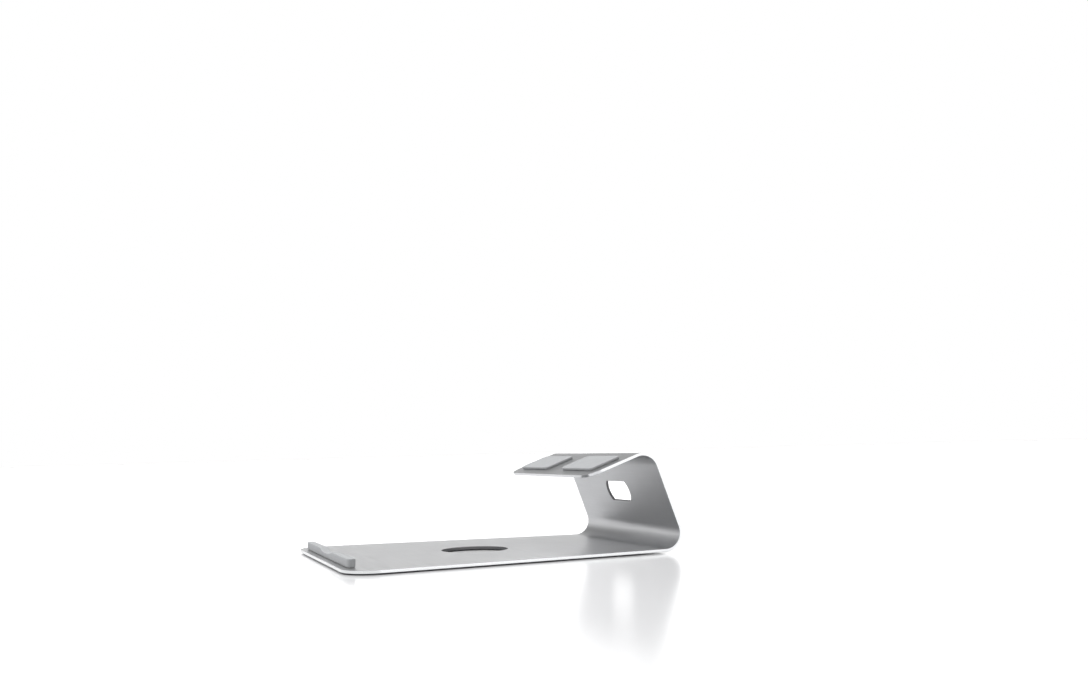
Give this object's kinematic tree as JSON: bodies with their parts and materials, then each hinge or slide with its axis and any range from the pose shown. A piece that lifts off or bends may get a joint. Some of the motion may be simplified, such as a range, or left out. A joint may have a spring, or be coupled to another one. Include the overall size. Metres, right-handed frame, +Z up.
{
  "type": "laptop stand",
  "caption": "Desk stand bent from one tapered aluminium sheet: flat base with a round hole and a front stop, leaning upright with a cable slot, sloping flange with rest pads.",
  "frame": {"origin": "middle of the stand's footprint, on the surface that the feet stand on", "axes": "+X across the stand, -Y the side that faces the user, +Z up"},
  "size_m": [0.1962, 0.2382, 0.0697],
  "materials": {
    "aluminium": "bead-blasted and anodised natural silver, with bright polished cut edges",
    "grey_silicone": "matt light grey silicone",
    "rubber": "matt dark grey rubber",
    "adhesive_tape": "thin white double-sided tape"
  },
  "bodies": {
    "root": {"bent_plate": "aluminium", "front_stop": "grey_silicone", "front_stop_tape": "adhesive_tape", "left_rest_pad": "grey_silicone", "left_rest_tape": "adhesive_tape", "right_rest_pad": "grey_silicone", "right_rest_tape": "adhesive_tape", "front_left_foot": "rubber", "front_left_foot_tape": "adhesive_tape", "front_right_foot": "rubber", "front_right_foot_tape": "adhesive_tape", "rear_left_foot": "rubber", "rear_left_foot_tape": "adhesive_tape", "rear_right_foot": "rubber", "rear_right_foot_tape": "adhesive_tape"}
  },
  "joints": []
}
